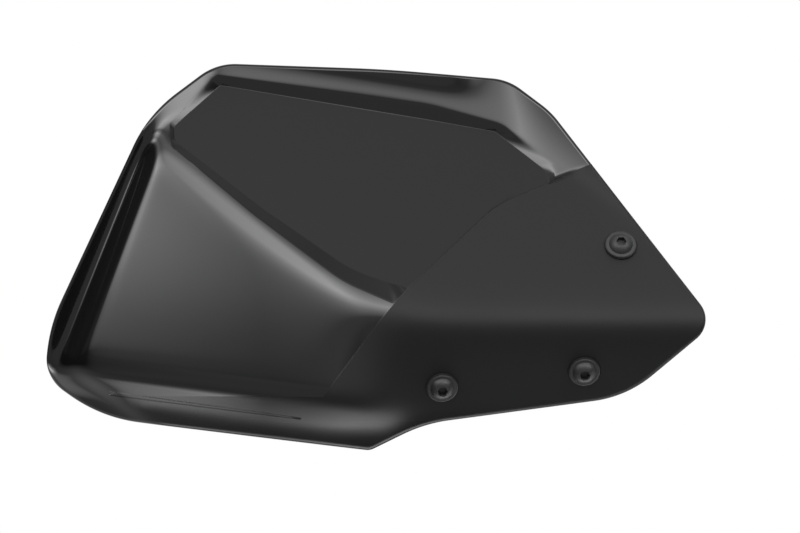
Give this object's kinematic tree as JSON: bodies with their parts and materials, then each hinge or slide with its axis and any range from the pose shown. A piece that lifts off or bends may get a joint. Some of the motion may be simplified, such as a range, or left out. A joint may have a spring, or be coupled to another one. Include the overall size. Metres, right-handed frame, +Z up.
{
  "type": "motorcycle hand guard",
  "caption": "Moulded guard for the rider's hand, with a recessed panel, a bulged lower side and a carrier that clamps to the handlebar",
  "frame": {"origin": "middle of the handlebar clamp's bore, on the bore's axis", "axes": "X along the handlebar towards the middle of the motorcycle, Y towards the rider, Z up"},
  "size_m": [0.2907, 0.1209, 0.1707],
  "materials": {
    "shell": "gloss black with a satin inboard end",
    "black_steel": "satin black coating",
    "black_aluminium": "black anodised",
    "black_screw": "satin black",
    "steel": "zinc plated",
    "rubber": "matt",
    "liner": "matt"
  },
  "bodies": {
    "root": {"arm_screw_inner": "black_screw", "arm_screw_outer": "black_screw", "carrier": "black_steel", "clamp_body": "black_aluminium", "clamp_cap": "black_aluminium", "clamp_screw_lower": "steel", "clamp_screw_upper": "steel", "clamp_washer_lower": "steel", "clamp_washer_upper": "steel", "grommet_inner": "rubber", "grommet_outer": "rubber", "grommet_upper": "rubber", "guard_screw_inner": "black_screw", "guard_screw_outer": "black_screw", "guard_screw_upper": "black_screw", "liner_front": "liner", "liner_rear": "liner", "nut_inner": "steel", "nut_outer": "steel", "nut_upper": "steel", "shell": "shell", "sleeve_inner": "steel", "sleeve_outer": "steel", "sleeve_upper": "steel"}
  },
  "joints": []
}
